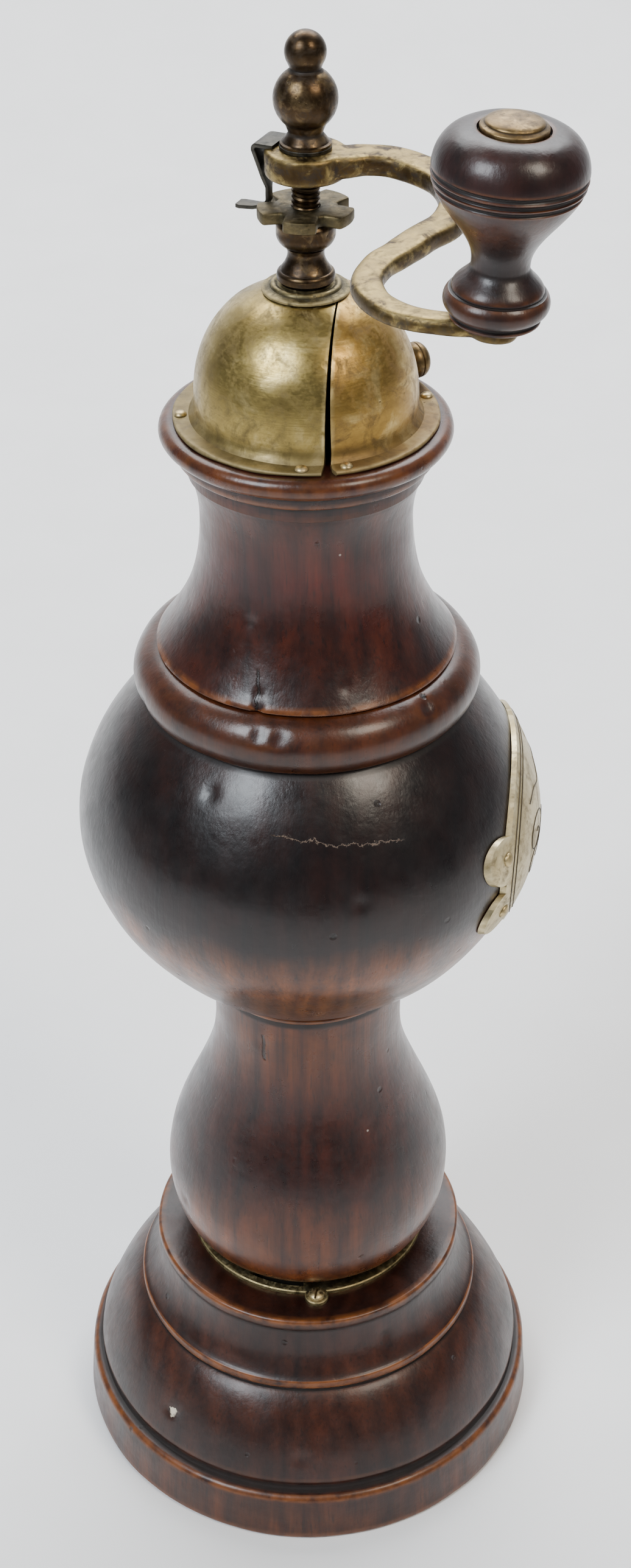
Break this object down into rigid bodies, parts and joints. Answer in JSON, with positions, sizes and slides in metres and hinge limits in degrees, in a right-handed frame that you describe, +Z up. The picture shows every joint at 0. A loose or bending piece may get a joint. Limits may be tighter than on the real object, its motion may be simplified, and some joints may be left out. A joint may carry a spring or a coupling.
{
  "type": "pepper mill",
  "caption": "Tall hand-cranked pepper mill: turned wooden body on a bayonet base bowl, sheet brass dome with a sliding loading door, S-shaped crank with a wooden knob.",
  "frame": {"origin": "centre of the flat underside of the wooden base", "axes": "+Z up along the spindle, +X towards the name plate, -Y towards the front, where the ring's front ear and the dome's seam are"},
  "size_m": [0.116, 0.1413, 0.3689],
  "materials": {
    "wood_base": "polished, dark red-brown turned fruitwood, worn lighter on its edges",
    "wood_bulb": "polished, red-brown turned fruitwood",
    "wood_belly": "polished, near-black above and amber below",
    "wood_neck": "polished, deep red-brown",
    "wood_handle": "polished, dark purple-brown",
    "old_brass": "aged, dull",
    "dome_brass": "aged olive-gold sheet, brushed and spotted",
    "plate_brass": "pale, rubbed, with olive stains",
    "crank_brass": "worn bright on top, brown in the hollows",
    "dark_bronze": "dark brown patina with worn edges",
    "dark_steel": "blackened spring steel",
    "burr_iron": "as cast, with cut grooves",
    "spindle_steel": "turned, oiled and darkened"
  },
  "bodies": {
    "base": {"base_bowl": "wood_base", "bayonet_ring": "old_brass", "ring_screws": "old_brass"},
    "mill_body": {"bulb_pedestal": "wood_bulb", "foot_ring": "old_brass", "foot_screws": "dark_steel", "belly_hopper": "wood_belly", "neck_collar": "wood_neck", "outer_burr": "burr_iron", "burr_bridge": "dark_steel", "burr_screws": "old_brass", "name_plate": "plate_brass", "plate_pins": "plate_brass", "dome_shell_left": "dome_brass", "dome_shell_right": "dome_brass", "dome_pins": "dome_brass", "boss_washer": "dark_steel", "spindle_bushing": "dark_bronze", "bushing_nut": "dark_bronze"},
    "loading_door": {"door_panel": "dome_brass", "door_knob": "dome_brass"},
    "adjuster": {"star_nut": "dark_bronze"},
    "drive": {"spindle": "spindle_steel", "inner_burr": "burr_iron", "burr_washer": "burr_iron", "burr_nut": "dark_steel", "crank_arm": "crank_brass", "catch_plate": "dark_steel", "finial_nut": "dark_bronze", "handle_pin": "crank_brass"},
    "nut_catch": {"catch_spring": "dark_steel"},
    "handle": {"handle_knob": "wood_handle"}
  },
  "joints": [
    {"name": "body_twist", "type": "hinge", "parent": "base", "child": "mill_body", "pos_m": [0, 0, 0.057], "axis": [0, 0, 1], "range_deg": [-30, 0]},
    {"name": "door_slide", "type": "hinge", "parent": "mill_body", "child": "loading_door", "pos_m": [0, 0, 0.3], "axis": [0, 0, 1], "range_deg": [0, 70]},
    {"name": "crank_turn", "type": "hinge", "parent": "mill_body", "child": "adjuster", "pos_m": [0, 0, 0.324], "axis": [0, 0, -1], "continuous": true},
    {"name": "grind_adjust", "type": "slide", "parent": "adjuster", "child": "drive", "axis": [0, 0, 1], "range_m": [-0.0015, 0.0005]},
    {"name": "knob_spin", "type": "hinge", "parent": "drive", "child": "handle", "pos_m": [0.03128, -0.0696, 0.33455], "axis": [0.0494, -0.0415, 0.9979], "continuous": true},
    {"name": "catch_lift", "type": "hinge", "parent": "drive", "child": "nut_catch", "pos_m": [-0.00475, 0.00212, 0.33755], "axis": [0.4067, 0.9135, 0], "range_deg": [0, 16], "stiffness_Nm_per_rad": 0.05}
  ]
}
